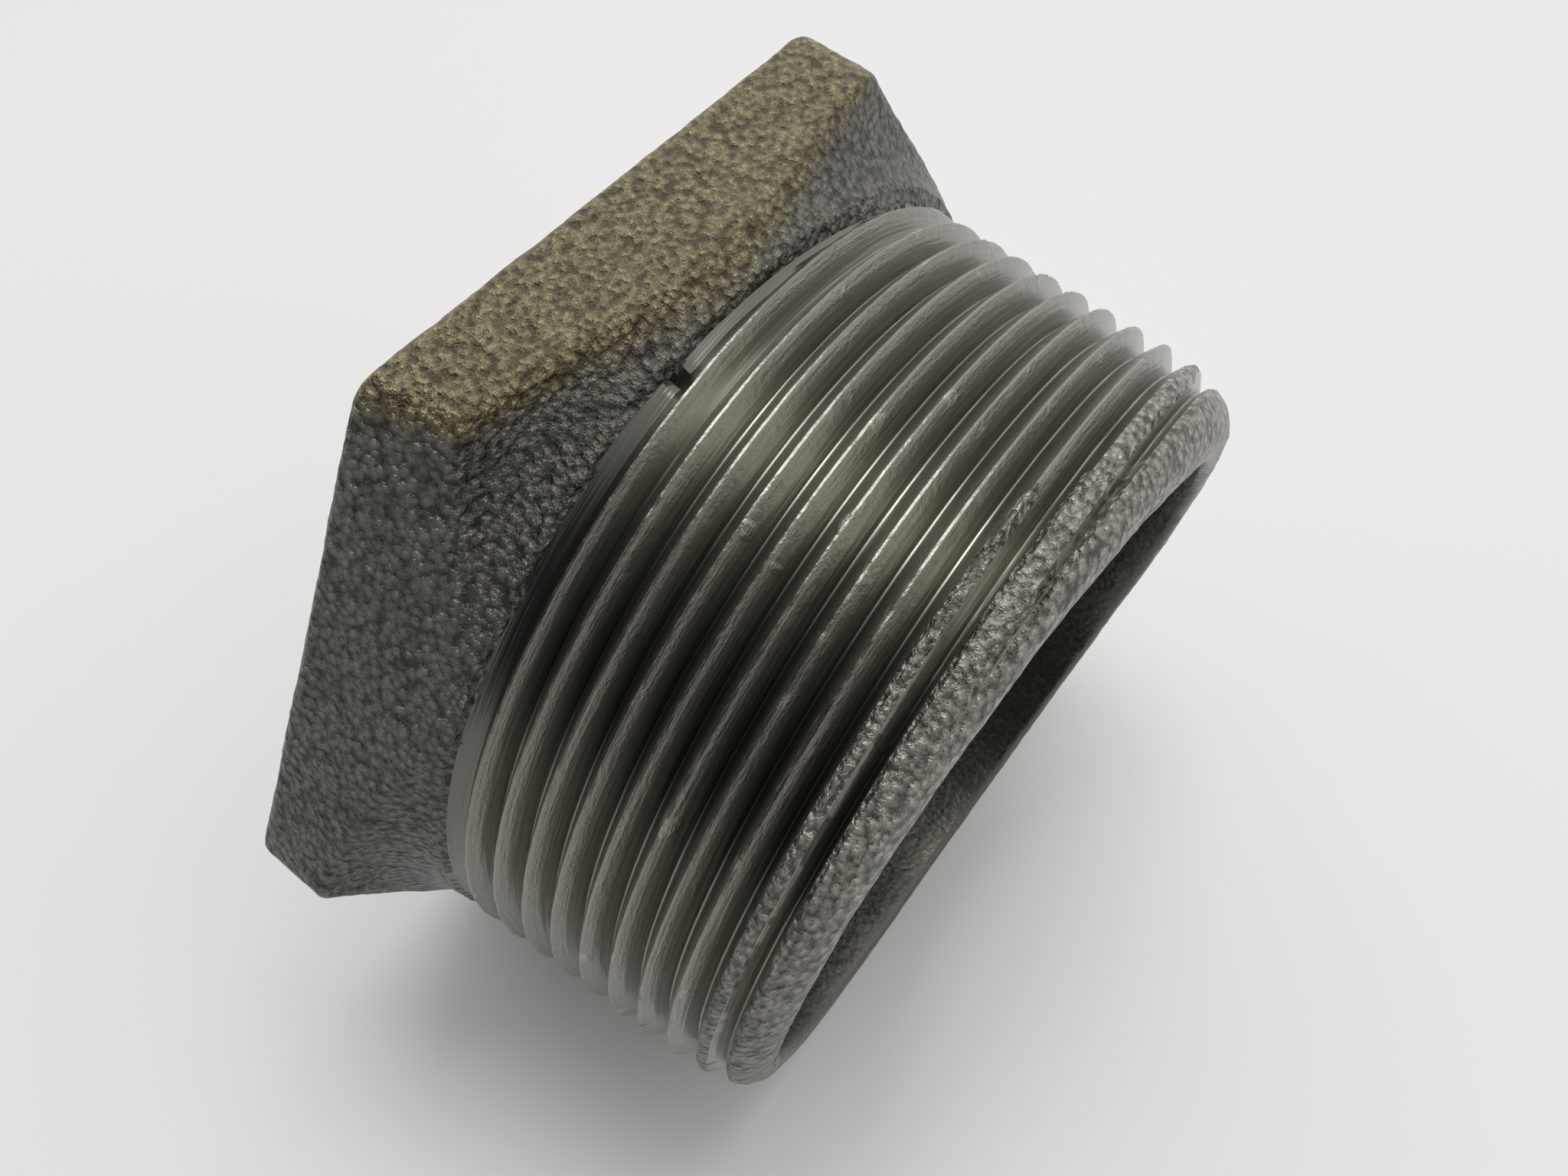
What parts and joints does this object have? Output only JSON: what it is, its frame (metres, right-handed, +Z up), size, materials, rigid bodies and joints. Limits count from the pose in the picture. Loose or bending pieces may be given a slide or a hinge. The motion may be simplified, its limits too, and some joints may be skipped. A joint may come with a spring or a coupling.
{
  "type": "hexagon reducing bush",
  "caption": "Malleable-iron hexagon reducing bush with an external taper pipe thread, an internal taper pipe thread in the head and a cored hollow at the lip.",
  "frame": {"origin": "on the ground under the middle of the bush, which lies on one wrench flat", "axes": "+X along the pipe axis from the hexagon head to the lip of the external thread, +Z up, out of the upper wrench flat, +Y across the corners of the hexagon"},
  "size_m": [0.0344, 0.0712, 0.0625],
  "materials": {
    "malleable_iron": "as cast, with die-cut threads"
  },
  "bodies": {
    "root": {"bush_casting": "malleable_iron"}
  },
  "joints": []
}
